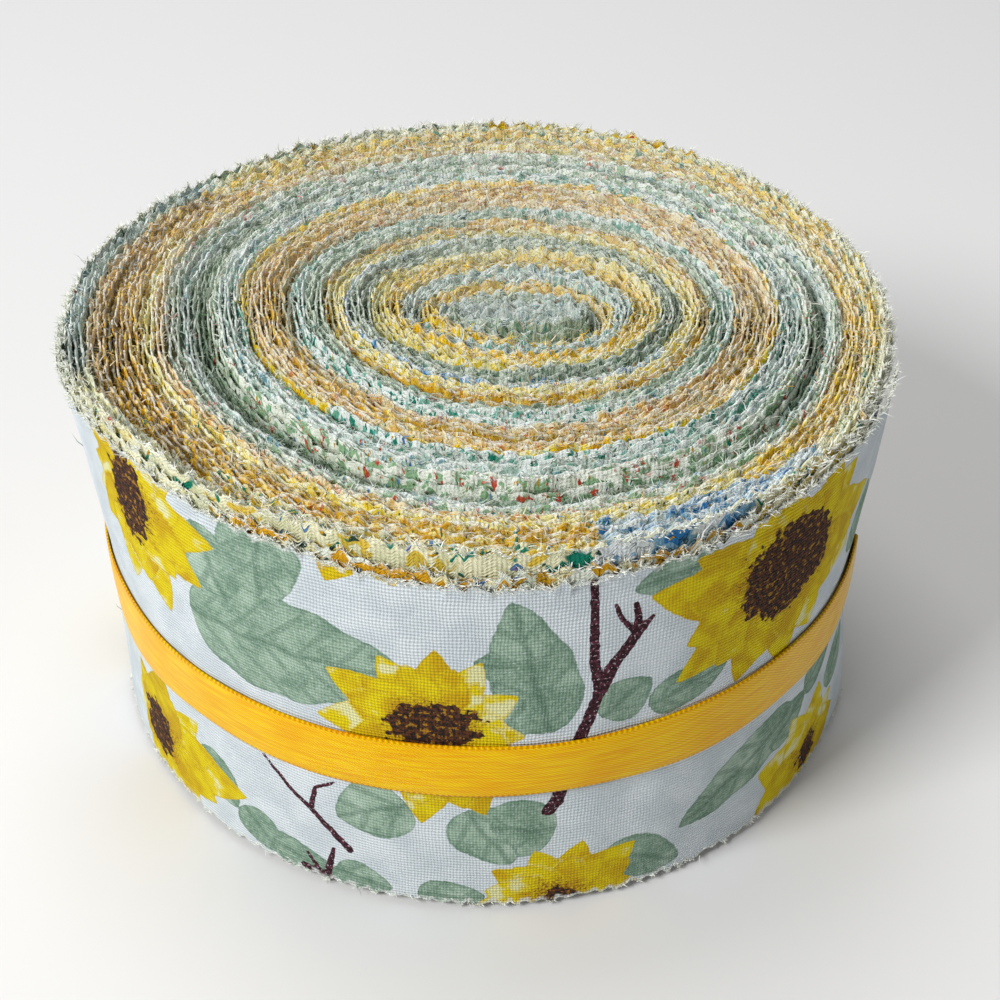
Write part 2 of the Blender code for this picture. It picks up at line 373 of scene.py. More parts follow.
# Which cloth lies where on the upper face, from the core outwards
# from, to (share of the way out), print
bands = (
    (0.0, 0.1, "paleBlue"),
    (0.1, 0.15, "sage"),
    (0.15, 0.175, "paleBlue"),
    (0.175, 0.215, "yellow"),
    (0.215, 0.235, "whiteTeal"),
    (0.235, 0.26, "paleBlue"),
    (0.26, 0.3, "yellow"),
    (0.3, 0.33, "butter"),
    (0.33, 0.37, "greyGreen"),
    (0.37, 0.385, "blueWhite"),
    (0.385, 0.42, "butter"),
    (0.42, 0.44, "gold"),
    (0.44, 0.48, "sage"),
    (0.48, 0.505, "whiteTeal"),
    (0.505, 0.535, "peach"),
    (0.535, 0.565, "gold"),
    (0.565, 0.6, "peach"),
    (0.6, 0.615, "yellow"),
    (0.615, 0.65, "whiteTeal"),
    (0.65, 0.675, "paleBlue"),
    (0.675, 0.7, "whiteRed"),
    (0.7, 0.73, "greyGreen"),
    (0.73, 0.76, "paleBlue"),
    (0.76, 0.785, "whiteRed"),
    (0.785, 0.81, "peach"),
    (0.81, 0.835, "butter"),
    (0.835, 0.88, "gold"),
    (0.88, 0.9, "creamTeal"),
    (0.9, 0.93, "yellow"),
    (0.93, 0.955, "creamTeal"),
    (0.955, 1.2, "cream"),
)
# Stretches of a turn that show another part of their print
# share from, to, azimuth from, to, print
patches = (
    (0.86, 0.925, -128, -42, "brownGold"),
    (0.925, 0.945, -120, -60, "peach"),
    (0.945, 1.1, -130, -72, "paleBlue"),
    (0.7, 0.72, -80, -30, "greyGreen"),
    (0.84, 0.95, 16, 52, "blueWhite"),
    (0.9, 0.96, 52, 78, "creamTeal"),
    (0.8, 0.86, 40, 100, "yellow"),
)


def printColours(azimuth, share):
    # Ground, figure and detail colours, and the print's amounts, at each place
    names = list(prints)
    which = np.zeros(share.shape, int)
    for low, high, name in bands:
        which[(share >= low) & (share < high)] = names.index(name)
    for low, high, first, last, name in patches:
        turned = wrapped(azimuth)
        inside = (share >= low) & (share < high) & (turned > first) & (turned < last)
        which[inside] = names.index(name)
    table = np.array([[(*hexColour(colour), 1.0) for colour in prints[name][:3]] for name in names])
    amounts = np.array([prints[name][3:] for name in names])
    chosen = table[which]
    return chosen[..., 0, :], chosen[..., 1, :], chosen[..., 2, :], amounts[which]


plainWhite = (1.0, 1.0, 1.0)
fullTurn = 2 * math.pi


def clothMaterial(name, face=False):
    # Printed cotton of the turns. cloth = (along, up, turn number) in metres, up is 0 at the edge
    graph = Graph(name)
    along, up, turn = graph.axes(graph.vector("cloth"))
    place = graph.joined(along, up, turn * 0.37)
    drawn = graph.joined(along * (0.8 if face else 0.5), up, turn * 0.37)
    figureAmount, detailAmount, reverse = graph.axes(graph.vector("amounts"))
    figure = graph.noise(drawn, 250.0 if face else 400.0, 2.0, 0.6)
    detail = graph.noise(place, 210.0 if face else 430.0, 2.0, 0.6)
    figureMask = graph.step(figure, 0.66 - figureAmount * 0.35, 0.69 - figureAmount * 0.35)
    detailMask = graph.step(detail, 0.7 - detailAmount * 0.4, 0.73 - detailAmount * 0.4)
    colour = graph.mix(graph.colour("ground"), graph.colour("figure"), figureMask)
    colour = graph.mix(colour, graph.colour("detail"), detailMask)
    # Small dots of other colours: teal, dark green, blue, coral and ochre
    kind = graph.noise(place, 95.0, 1.0)
    speck = graph.mix("16806c", "2f4a3a", graph.step(kind, 0.38, 0.42))
    speck = graph.mix(speck, "c79412", graph.step(kind, 0.46, 0.48))
    speck = graph.mix(speck, "4f7fb4", graph.step(kind, 0.54, 0.56))
    speck = graph.mix(speck, "c4513c", graph.step(kind, 0.61, 0.63))
    dots = graph.noise(graph.joined(along * 0.8, up, turn * 0.91), 640.0, 1.0)
    colour = graph.mix(colour, speck, graph.step(dots, 0.655, 0.68))
    shade = graph.noise(drawn, 210.0, 2.0)
    shaded = graph.mix((0.66, 0.7, 0.6), plainWhite, graph.step(shade, 0.3, 0.55))
    colour = graph.tint(colour, 0.75, shaded)
    colour = graph.mix(colour, (0.76, 0.79, 0.72), reverse * 0.3)
    # Frayed ends of the white yarn show at the cut edge
    fuzz = graph.noise(drawn, 2300.0, 2.0)
    patchy = graph.step(graph.noise(place, 330.0, 2.0), 0.38, 0.62)
    tip = graph.step(up + fuzz * 0.0012, 0.0, 0.0007)
    colour = graph.mix(colour, (0.86, 0.89, 0.86), tip * patchy * 0.75)
    colour = graph.mix(colour, (0.88, 0.91, 0.88), graph.value("white"))
    fuzzy = graph.mix((0.74, 0.75, 0.7), plainWhite, graph.step(fuzz, 0.32, 0.52))
    colour = graph.tint(colour, 0.8, fuzzy)
    if face:
        # Thin dark drawn lines round some of the figures
        line = graph.step(abs(graph.noise(place, 260.0, 2.0) - 0.5), 0.014, 0.004)
        colour = graph.mix(colour, "26322e", line * graph.step(figureAmount, 0.38, 0.41) * 0.8)
    # Painted shade: the cloth darkens the further it lies below its cut edge, down between the turns
    deepShade = graph.step(up, -0.0075, -0.0045) if face else graph.step(up, -0.0028, -0.0012)
    colour = graph.tint(colour, 1.0, graph.mix((0.3, 0.32, 0.27), plainWhite, deepShade))
    # Painted shade in the valley, the core's gap and the twists' grooves
    hollowShade = graph.value("hollowShade")
    colour = graph.tint(colour, hollowShade, (0.3, 0.38, 0.3))
    rib = graph.sine(up * (fullTurn / 0.0005)) * 0.5 + graph.sine(along * (fullTurn / 0.0006)) * 0.5
    normal = graph.bump(rib * 0.4 + fuzz * 1.6, 0.6, 0.00025)
    inputs = {"Base Color": colour, "Roughness": 0.92, "Normal": normal}
    return graph.finish(inputs | {"Specular IOR Level": 0.2})


turnCloth = clothMaterial("turn_cloth")

# The turns' upper edges, one long pinked strip wound from the core outwards
turns = {
    "first": 0.03,
    "coreTurns": 6.0,
    "last": 0.974,
    "pitch": 0.0104,
    "column": 0.5 * mm,
    "tooth": 2.5 * mm,
    "toothDepth": 1.3 * mm,
    "thick": 0.36 * mm,
    "depth": 4.0 * mm,
    "seed": 11,
    "knotsATurn": 2.7,
    "stripRise": 0.55,
    "drop": 0.6,
    "tipVary": 0.3 * mm,
    "footLevel": 0.75,
    "footVary": 0.1 * mm,
    "lean": 0.22,
    "colourShift": 0.008,
}
# How deep the teeth are on the way out: shares, and depths as a share of toothDepth
toothShares = (0.0, 0.26, 0.36, 0.7, 0.86, 0.97)
toothDepths = (1.1, 1.0, 0.5, 0.42, 0.6, 1.0)


def spiral(settings):
    # Points every column along the winding: azimuth, share, length along, turn number
    outerTurns = (settings["last"] - core["share"]) / settings["pitch"]
    total = settings["coreTurns"] + outerTurns
    count = np.arange(0.0, total, 1 / 360)
    share = np.interp(
        count, (0, settings["coreTurns"], total), (settings["first"], core["share"], settings["last"])
    )
    azimuth = endAzimuth + (count - total) * 360 + 300
    x, y = ringPoint(azimuth, share, np.full_like(share, stripWidth))
    length = np.concatenate([[0.0], np.cumsum(np.hypot(np.diff(x), np.diff(y)))])
    places = np.arange(0.0, length[-1], settings["column"])
    azimuth, share, count = (np.interp(places, length, known) for known in (azimuth, share, count))
    return azimuth, share, places, count


def teethAt(places, pitch, random):
    # Pinked edge, 0 in the notch and 1 at the tip, with each tooth a little different
    moved = places + waves(places, (0.007, 0.011, 0.019), 71) * 0.55 * mm + 2 * mm
    number = np.floor(moved / pitch).astype(int)
    within = moved / pitch - number
    vary = random.uniform(-1, 1, (number.max() + 1, 3))
    tall = 0.68 + 0.32 * vary[number, 2]
    tooth = np.clip(1.15 - np.abs(2 * within - 1) * 1.3, 0, 1) * tall
    return tooth, vary[number]


def turnEdges(settings, upper):
    # One pinked edge per turn: outer foot, outer tip, inner tip, inner foot
    random = np.random.default_rng(settings["seed"])
    azimuth, share, along, count = spiral(settings)
    tooth, vary = teethAt(along, settings["tooth"], random)
    knots = random.uniform(-1, 1, int(count.max() * settings["knotsATurn"]) + 3)
    stripShift = np.interp(count * settings["knotsATurn"], np.arange(len(knots)), knots)
    drift = waves(along, (0.045, 0.083, 0.16), 3) * 0.35 + waves(along, (0.013, 0.019), 4) * 0.2
    if upper:
        moved = settings["stripRise"] * stripShift + drift * 0.6 - settings["drop"]
        level = faceHeight(azimuth, share) + moved * mm
        depth = settings["toothDepth"] * np.interp(share, toothShares, toothDepths)
        tip = level + (tooth - 0.5) * depth + vary[:, 0] * settings["tipVary"]
        foot = level - settings["depth"]
    else:
        level = (settings["footLevel"] + 0.35 * stripShift + 0.3 * drift) * mm
        tip = level - (tooth - 0.5) * settings["toothDepth"] + vary[:, 0] * settings["footVary"]
        tip = np.maximum(tip, 0.05 * mm)
        foot = np.full_like(level, settings["depth"])
    x, y = ringPoint(azimuth, share, np.full_like(share, stripWidth if upper else 0.0))
    dx, dy = np.gradient(x), np.gradient(y)
    size = np.hypot(dx, dy)
    outX, outY = dy / size, -dx / size
    lean = (vary[:, 1] * settings["lean"] + waves(along, (0.006, 0.011), 5) * 0.12) * mm
    wander = waves(along, (0.017, 0.029), 6) * 0.12 * mm
    x, y = x + outX * wander, y + outY * wander
    half = settings["thick"] / 2
    rows = ((half, foot, 0.0), (half * 0.7, tip, 1.0), (-half * 0.7, tip, 1.0), (-half, foot, 0.0))
    lines = []
    for side, z, top in rows:
        lines.append(np.stack([x + outX * (side + lean * top), y + outY * (side + lean * top), z], axis=1))
    points = np.stack(lines, axis=1)
    colours = printColours(azimuth, share + settings["colourShift"] * stripShift)
    ground, figure, detail, amounts = colours
    depth = np.abs(tip - foot)
    # Painted shade of the hollows on the upper edges, none on the feet
    hollowShade = hollowShadeAt(azimuth, share) if upper else np.zeros_like(share)
    cloth = np.stack([np.stack([along, -depth * (1 - top), count], axis=1) for side, z, top in rows], axis=1)
    reverse = np.broadcast_to(np.array([0.0, 0.0, 1.0, 1.0])[None, :, None], (len(along), 4, 1))
    wide = np.concatenate([np.repeat(amounts[:, None, :], 4, axis=1), reverse], axis=2)
    values = {
        "cloth": cloth.reshape(-1, 3),
        "amounts": wide.reshape(-1, 3),
        "ground": np.repeat(ground, 4, axis=0),
        "figure": np.repeat(figure, 4, axis=0),
        "detail": np.repeat(detail, 4, axis=0),
        "hollowShade": np.repeat(hollowShade, 4),
    }
    tips = {"x": x, "y": y, "tip": tip, "outX": outX, "outY": outY, "tooth": tooth}
    return points, values, tips


def splitPieces(name, points, values, parts, rows, material):
    # The long strip in several pieces, each under the limit for one
    columns = len(points)
    cuts = [round(columns * index / parts) for index in range(parts + 1)]
    for index in range(parts):
        low, high = cuts[index], min(columns, cuts[index + 1] + 1)
        picked = {}
        for key, numbers in values.items():
            part = numbers.reshape(columns, rows, -1)[low:high].reshape((high - low) * rows, -1)
            picked[key] = part.ravel() if part.shape[1] == 1 else part
        faces = gridFaces(high - low, rows)
        piece = makePiece(f"{name}_{index + 1}", points[low:high], faces, material, picked)


edgePoints, edgeValues, upperTips = turnEdges(turns, True)
splitPieces("turn_edges", edgePoints, edgeValues, 2, 4, turnCloth)
print("turn edges made", sum(triangles.values()))

# The turns' lower edges, coarser because they rest on the ground
lowerTurns = dict(
    turns,
    pitch=0.0165,
    coreTurns=4.0,
    column=0.85 * mm,
    tooth=2.55 * mm,
    thick=0.75 * mm,
    depth=2.2 * mm,
    seed=12,
)
lowerPoints, lowerValues = turnEdges(lowerTurns, False)[:2]
splitPieces("turn_feet", lowerPoints, lowerValues, 1, 4, turnCloth)
print("underside made", sum(triangles.values()))


# The body of the roll under the turns' edges
body = {
    "columns": 240,
    "inset": 0.8 * mm,
    "below": 2.7 * mm,
    "foot": 1.3 * mm,
    "wallShare": 0.985,
    "wallLook": 0.97,
    "wallLevels": (0.9, 0.78, 0.62, 0.54, 0.38, 0.2, 0.05),
    # Painted shade laid evenly over the whole body, down between the turns' edges
    "hollowShade": 0.6,
}


def rollBody():
    azimuth = np.arange(body["columns"]) * 360 / body["columns"] - 180
    shares = np.concatenate([np.linspace(0.02, 0.17, 6), np.linspace(0.2, body["wallShare"], 42)])
    loops = []
    looks = []
    for share in shares:
        here = np.full_like(azimuth, share)
        height = faceHeight(azimuth, here) - body["below"]
        x, y = ringPoint(azimuth, here * (1 - body["inset"] / rollRadius), np.full_like(azimuth, stripWidth))
        loops.append(np.stack([x, y, height], axis=1))
        looks.append(share)
    for level in body["wallLevels"]:
        height = np.full_like(azimuth, stripWidth * level)
        x, y = ringPoint(azimuth, np.full_like(azimuth, body["wallShare"]), height)
        loops.append(np.stack([x, y, height], axis=1))
        looks.append(body["wallLook"])
    for share in shares[::-1]:
        here = np.full_like(azimuth, share)
        height = np.full_like(azimuth, body["foot"])
        x, y = ringPoint(azimuth, here, np.zeros_like(azimuth))
        loops.append(np.stack([x, y, height], axis=1))
        looks.append(share)
    rows = len(loops)
    points = np.stack(loops, axis=1)
    columns = len(azimuth)
    faces = gridFaces(columns + 1, rows) % (columns * rows)
    top = [index * rows for index in range(columns)][::-1]
    foot = [index * rows + rows - 1 for index in range(columns)]
    allFaces = faces.tolist() + [top, foot]
    share = np.tile(np.array(looks), columns)
    turned = np.repeat(azimuth, rows)
    ground, figure, detail, amounts = printColours(turned, share)
    along = np.radians(turned) * share * rollRadius
    cloth = np.stack([along, np.full_like(share, -2.6 * mm), share * 90], axis=1)
    wide = np.concatenate([amounts, np.full((len(share), 1), 0.3)], axis=1)
    values = {"cloth": cloth, "amounts": wide, "ground": ground, "figure": figure, "detail": detail}
    # The body's painted shade, the same everywhere
    values["hollowShade"] = np.full_like(share, body["hollowShade"])
    piece = makePiece("roll_body", points, allFaces, turnCloth, values)
    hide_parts("wound_roll")


rollBody()
print("body made", sum(triangles.values()))


# The outermost strip and its print: sunflowers, leaves and twigs, placed one by one
# centre azimuth and height, seed head half width and height, reach right, up, left, down, petals
flowers = (
    (-52, 58.0, 4.2, 7.6, 17.5, 11.5, 10.5, 17.5, 11),
    (-6, 37.0, 6.4, 4.6, 13.5, 14.5, 18.0, 22.0, 12),
    (43, 52.0, 8.6, 8.4, 24.0, 15.0, 23.0, 20.0, 12),
    (-57, 9.5, 4.2, 5.4, 22.0, 15.5, 7.0, 13.0, 10),
    (11, 1.5, 3.0, 2.0, 16.5, 11.5, 14.5, 6.0, 10),
    (57, 5.0, 3.0, 3.0, 12.0, 13.0, 18.0, 9.0, 9),
    (-14, 72.0, 3.0, 2.4, 11.0, 6.0, 11.5, 14.0, 9),
)
# foot azimuth and height, length, half width, direction (degrees, 0 right, 90 up)
leaves = (
    (-41, 45.5, 34.0, 9.6, 1),
    (-38, 62.0, 22.0, 5.0, -70),
    (-28, 66.5, 13.5, 6.6, -92),
    (9, 36.0, 24.5, 5.8, 103),
    (8.5, 47.5, 10.0, 3.9, 168),
    (7, 45.0, 12.0, 4.0, -118),
    (15.5, 37.5, 8.5, 4.2, 40),
    (22, 37.5, 12.5, 4.0, 14),
    (50, 20.5, 25.0, 5.0, -155),
    (10, 16.5, 13.0, 6.0, 172),
    (-2, 21.0, 13.0, 5.4, -60),
    (-10, 21.5, 12.0, 5.8, -150),
    (-44, 16.0, 11.0, 4.4, -52),
    (-36, 9.0, 9.0, 4.0, -50),
    (-33, 5.0, 14.0, 3.4, -12),
    (-21, 4.0, 9.0, 3.4, -10),
    (-9, 2.4, 10.0, 3.4, 0),
    (45, 14.5, 11.0, 3.6, 35),
    (53, 21.0, 10.0, 3.8, 18),
    (17, 9.5, 14.0, 4.6, -28),
    (30, 61.0, 12.0, 3.6, -172),
    (66, 38.0, 12.0, 4.6, 80),
    (64, 12.0, 11.0, 4.4, 60),
)
# points (azimuth, height) along each twig, and its half width at both ends
twigs = (
    (((13.5, 63), (13.8, 55), (14, 48), (15, 42.5), (13.6, 37), (12, 32), (10, 22), (9, 20.5)), 0.55, 1.15),
    (((15, 42.5), (16.4, 47), (19.2, 51.5), (20.3, 53)), 1.1, 0.7),
    (((19.2, 51.8), (19.4, 54.5), (18.9, 57)), 0.7, 0.4),
    (((19.2, 51.8), (17.4, 54.5), (16.3, 57.4)), 0.5, 0.3),
    (((19.8, 52.4), (21.4, 54.2)), 0.6, 0.3),
    (((-31, 22.7), (-27, 17.7), (-24, 15.4), (-21, 12), (-18.6, 9)), 0.35, 0.7),
    (((-24, 15.6), (-23, 20.4), (-20, 22.6)), 0.5, 0.25),
    (((-26, 2), (-21.5, 1.4)), 0.8, 0.5),
    (((-22.4, 2), (-21, 8.2)), 0.7, 0.35),
    (((-23.8, 2.6), (-25.4, 5.4)), 0.5, 0.3),
)
perDegree = math.radians(1) * rollRadius / mm


def tapered(place, half, foot, tip):
    # Half width of a pointed shape at 0 (its foot) to 1 (its tip), negative beyond its ends
    inside = np.clip(place, 0, 1)
    widest = foot / (foot + tip)
    most = widest**foot * (1 - widest) ** tip
    width = half * inside**foot * (1 - inside) ** tip / most
    beyond = np.abs(place - inside)
    return width - beyond * half * 4


def placed(across, up, foot, angle):
    # Distance along a direction from a foot point, and off to its side
    turn = math.radians(angle)
    dx, dy = across - foot[0], up - foot[1]
    return dx * math.cos(turn) + dy * math.sin(turn), -dx * math.sin(turn) + dy * math.cos(turn)


def drawPrint(across, up):
    # Each motif's distance inside its outline (mm) and its own tones, at each point of the strip
    far = np.full_like(across, -9.0)
    values = {key: far.copy() for key in ("petal", "petalRim", "seed", "leaf", "twig")}
    values["petalAlong"] = np.zeros_like(across)
    values["petalTone"] = np.zeros_like(across)
    leafPlace = np.zeros((*across.shape, 3))
    random = np.random.default_rng(5)
    for index, (azimuth, height, length, half, angle) in enumerate(leaves):
        along, aside = placed(across, up, (azimuth * perDegree, height), angle)
        bow = math.sin(index * 2.1) * 0.012 * (along - length / 2) ** 2 / half
        aside = aside + bow + 0.16 * np.sin(along * 0.8 + index) * half / 5
        inside = tapered(along / length, half, 0.45, 0.75) - np.abs(aside)
        over = inside > np.maximum(values["leaf"], -0.6)
        leafPlace[over] = np.stack([along, aside, np.full_like(along, index * 0.731 % 1)], axis=-1)[over]
        values["leaf"] = np.maximum(values["leaf"], inside)
    for azimuth, height, seedAcross, seedUp, right, top, left, foot, count in flowers:
        centre = (azimuth * perDegree, height)
        dx, dy = across - centre[0], up - centre[1]
        for layer in (0, 1):
            for step in range(count):
                angle = 360 * (step + 0.5 * layer) / count + random.uniform(-7, 7)
                turn = math.radians(angle)
                sideways = right if math.cos(turn) > 0 else left
                upwards = top if math.sin(turn) > 0 else foot
                reach = 1 / math.hypot(math.cos(turn) / sideways, math.sin(turn) / upwards)
                seedReach = 1 / math.hypot(math.cos(turn) / seedAcross, math.sin(turn) / seedUp)
                start = seedReach * 0.7
                length = (reach * (1.0 - 0.2 * layer) - start) * random.uniform(0.82, 1.08)
                half = 1.0 + reach * 1.75 / count * random.uniform(0.85, 1.25)
                origin = (centre[0] + start * math.cos(turn), centre[1] + start * math.sin(turn))
                along, aside = placed(across, up, origin, angle + random.uniform(-8, 8))
                bend = random.uniform(-1, 1) * 0.012 * along**2 / (1 + half)
                inside = tapered(along / length, half, 0.5, 0.95) - np.abs(aside + bend)
                over = inside > -0.15
                values["petalRim"][over] = inside[over]
                values["petalAlong"][over] = np.clip(along / length, 0, 1)[over]
                values["petalTone"][over] = random.uniform(0, 1)
                values["petal"] = np.maximum(values["petal"], inside)
        seed = (1 - np.hypot(dx / seedAcross, dy / seedUp)) * min(seedAcross, seedUp)
        values["seed"] = np.maximum(values["seed"], seed)
    for line, first, last in twigs:
        spots = [(azimuth * perDegree, height) for azimuth, height in line]
        for index, (start, end) in enumerate(zip(spots, spots[1:])):
            size = math.hypot(end[0] - start[0], end[1] - start[1])
            angle = math.degrees(math.atan2(end[1] - start[1], end[0] - start[0]))
            along, aside = placed(across, up, start, angle)
            share = (index + np.clip(along / size, 0, 1)) / (len(spots) - 1)
            beyond = along - np.clip(along, 0, size)
            values["twig"] = np.maximum(values["twig"], mix(first, last, share) - np.hypot(aside, beyond))
    values["leafPlace"] = leafPlace
    return values


outer = {
    "start": -300.0,
    "end": 75.0,
    "fine": -92.0,
    "fineStep": 0.347,
    "coarseStep": 0.722,
    "rows": 124,
    "off": 0.3 * mm,
    "tooth": 2.6 * mm,
    "toothDepth": 1.1 * mm,
    "repeat": 145.0,
    "bulge": 0.9 * mm,
    "flare": 0.8 * mm,
}


def stripBase(azimuth, height):
    # The wall under the outermost strip, still rising to full size over its first turn
    turned = np.clip((azimuth - outer["start"]) / 360, 0, 1)
    share = mix(twistLines[-2], 1.0, turned)
    x, y = ringPoint(azimuth, share, height)
    return np.hypot(x, y)


def outerSurface(azimuth, height):
    # Distance from the axis of the outermost strip's face
    along = azimuth * perDegree * mm
    middle = ribbonMiddle(azimuth)
    half = ribbonWidth / 2
    above = np.clip((height - middle - half) / (stripWidth - middle - half), 0, 1)
    below = np.clip((middle - half - height) / (middle - half), 0, 1)
    reach = np.clip((azimuth - endAzimuth) / 15, 0, 1) ** 2
    lift = outer["bulge"] * np.sin(math.pi * above) + outer["flare"] * below
    away = np.abs(height - middle) - half
    pinch = np.clip(away / (4 * mm), 0, 1) * np.exp(-np.clip(away, 0, None) / (9 * mm))
    creases = waves(along, (0.009, 0.013, 0.021), 21) * 0.22 * pinch
    soft = waves(along + height * 0.6, (0.031, 0.052), 22) * waves(height, (0.02, 0.035), 23) * 0.1
    return stripBase(azimuth, height) + outer["off"] + lift * reach + (creases + soft) * mm


def surfacePoints(azimuth, radius, height):
    turn = np.radians(azimuth)
    return np.stack([radius * np.sin(turn), -radius * np.cos(turn), height], axis=-1)


def outerStrip(material):
    coarse = np.arange(outer["start"], outer["fine"], outer["coarseStep"])
    fine = np.arange(outer["fine"], outer["end"] + 0.01, outer["fineStep"])
    azimuths = np.concatenate([coarse, fine])
    random = np.random.default_rng(31)
    along = (azimuths - outer["start"]) * perDegree * mm
    tooth, vary = teethAt(along, outer["tooth"], random)
    edge = around(wallRows, azimuths)[..., 4] * mm
    topLevel = stripWidth + edge + (tooth - 0.6) * outer["toothDepth"] + vary[:, 0] * 0.2 * mm
    footLevel = 0.15 * mm + (1 - tooth) * outer["toothDepth"] + (vary[:, 1] + 1) * 0.12 * mm
    share = np.linspace(0, 1, outer["rows"])[None, :]
    plainTop = (stripWidth + edge - 0.6 * outer["toothDepth"])[:, None]
    plainFoot = 1.3 * mm
    height = mix(plainFoot, plainTop, share)
    height = height + (topLevel[:, None] - plainTop) * ease((share - 0.95) / 0.05)
    height = height + (footLevel[:, None] - plainFoot) * ease((0.05 - share) / 0.05)
    azimuth = np.broadcast_to(azimuths[:, None], height.shape)
    radius = outerSurface(azimuth, height)
    lean = (vary[:, 2] * 0.35 + 0.1)[:, None] * mm * ease((share - 0.96) / 0.04)
    radius = radius + lean
    points = surfacePoints(azimuth, radius, height)
    across = azimuth * perDegree
    up = height / mm
    turned = (azimuth + 75) % outer["repeat"] - 75
    shown = np.where(azimuth > -75, azimuth, turned)
    values = drawPrint(shown * perDegree, up)
    leafPlace = values.pop("leafPlace").reshape(-1, 3)
    flat = {key: numbers.ravel() for key, numbers in values.items()}
    flat["leafPlace"] = leafPlace
    flat["cloth"] = np.stack([across * mm, height, np.zeros_like(height)], axis=-1).reshape(-1, 3)
    flat["edge"] = np.minimum(topLevel[:, None] - height, height - footLevel[:, None]).ravel() / mm
    faces = gridFaces(len(azimuths), outer["rows"])
    piece = makePiece("outer_strip", points, faces, material, flat)
    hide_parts("loose_end")
    return azimuths, topLevel, footLevel, tooth


def printedMaterial():
    graph = Graph("printed_strip")
    cloth = graph.vector("cloth")
    along, up = graph.axes(cloth)[:2]
    wobble = (graph.noise(cloth, 900.0, 2.0) - 0.5) * 1.1
    soft = graph.noise(cloth, 160.0, 3.0)
    broad = graph.noise(cloth, 60.0, 2.0)
    fine = graph.noise(cloth, 1500.0, 2.0)
    flecks = graph.noise(cloth, 2400.0, 1.0)
    ground = graph.mix("d3dde2", "e2eaee", graph.step(soft, 0.35, 0.65))
    # Leaves: mottled sage washes, darker midrib and a few soft veins
    lengthways, sideways, which = graph.axes(graph.vector("leafPlace"))
    leafIn = graph.value("leaf") + wobble * 0.6
    wash = graph.noise(graph.joined(lengthways, sideways, which * 40), 0.2, 2.0)
    mottle = graph.step(wash + (fine - 0.5) * 0.5, 0.26, 0.66)
    leaf = graph.mix("71927a", "a0bba4", mottle)
    leaf = graph.mix(leaf, "bdd2c0", graph.step(wash + (which - 0.5) * 0.14, 0.56, 0.72) * 0.75)
    rib = graph.step(abs(sideways + (wash - 0.5) * 1.4), 0.8, 0.1)
    slant = graph.sine((lengthways * 0.8 - abs(sideways) * 0.75) * (fullTurn / 4.4))
    veins = graph.step(slant + (wash - 0.5) * 1.6, 0.7, 1.0)
    leaf = graph.mix(leaf, "4b7157", graph.larger(rib * 0.55, veins * 0.4))
    rim = graph.step(leafIn + (wash - 0.5) * 1.6, 0.9, 0.2)
    leaf = graph.mix(leaf, "5b8069", rim * 0.5)
    leaf = graph.mix(leaf, ground, graph.step(flecks, 0.6, 0.68) * 0.3)
    colour = graph.mix(ground, leaf, graph.step(leafIn, -0.1, 0.18) * 0.96)
    # Twigs: wine brown with small pale flecks
    twigIn = graph.value("twig") * 1.15 + wobble * 0.5
    twig = graph.mix("2e0e18", "5c2c3a", graph.step(fine, 0.46, 0.6))
    twig = graph.mix(twig, "c9b8bf", graph.step(flecks, 0.63, 0.68) * 0.8)
    colour = graph.mix(colour, twig, graph.step(twigIn, -0.03, 0.1))
    # Petals: yellow washes with pale patches, ochre and brown towards the seed head
    petalIn = graph.value("petal") + wobble * 0.45
    rimIn = graph.value("petalRim")
    tone = graph.value("petalTone")
    outwards = graph.value("petalAlong")
    streak = graph.noise(graph.joined(along, up, tone * 7), 250.0, 3.0)
    petal = graph.mix("cfa900", "e6d000", graph.step(streak + tone * 0.2, 0.4, 0.68))
    pale = graph.step(streak + (soft - 0.5) * 0.7 + (tone - 0.5) * 0.3, 0.6, 0.72)
    petal = graph.mix(petal, "e9ecc0", pale * graph.step(outwards, 0.3, 0.5) * 0.75)
    petal = graph.mix(petal, "b98a06", graph.step(outwards + (fine - 0.5) * 0.9, 0.42, 0.05) * 0.6)
    petal = graph.mix(petal, "b0860a", graph.step(abs(rimIn + wobble * 0.25), 0.5, 0.05) * 0.3)
    root = graph.step(outwards + (flecks - 0.5) * 1.5 + broad * 0.5, 0.3, 0.18)
    petal = graph.mix(petal, "7a4a16", root * 0.8)
    colour = graph.mix(colour, petal, graph.step(petalIn, -0.06, 0.14))
    # Seed head: speckled dark browns, ragged at its rim
    seedIn = graph.value("seed") + (graph.noise(cloth, 520.0, 3.0) - 0.5) * 6.0
    speck = graph.noise(cloth, 1500.0, 2.0)
    seed = graph.mix("281a14", "5a3218", graph.step(speck, 0.44, 0.56))
    gold = graph.noise(cloth, 1150.0, 2.0)
    seed = graph.mix(seed, "a87a1c", graph.step(gold + (soft - 0.5) * 0.25, 0.58, 0.63) * 0.9)
    colour = graph.mix(colour, seed, graph.step(seedIn, -0.15, 0.2))
    # White yarn at the cut edges
    edge = graph.value("edge")
    fray = graph.step(edge + (graph.noise(cloth, 700.0, 2.0) - 0.5) * 3.2, 1.1, 0.0)
    colour = graph.mix(colour, "e4e8e4", fray * 0.85)
    # Threads
    bend = (soft - 0.5) * 0.0009
    weft = graph.sine((up + bend) * (fullTurn / 0.00056))
    warp = graph.sine((along + bend) * (fullTurn / 0.00047))
    dark = graph.step(weft + (fine - 0.5) * 2, -0.9, 0.4)
    colour = graph.tint(colour, 1.0, graph.mix((0.8, 0.81, 0.82), plainWhite, dark))
    normal = graph.bump(weft * 0.6 + warp * 0.3 + fine * 0.6, 0.55, 0.00018)
    inputs = {"Base Color": colour, "Roughness": 0.85, "Normal": normal}
    return graph.finish(inputs | {"Specular IOR Level": 0.25})


outerAzimuths, outerTop, outerFoot, outerTooth = outerStrip(printedMaterial())
print("outer strip made", sum(triangles.values()))


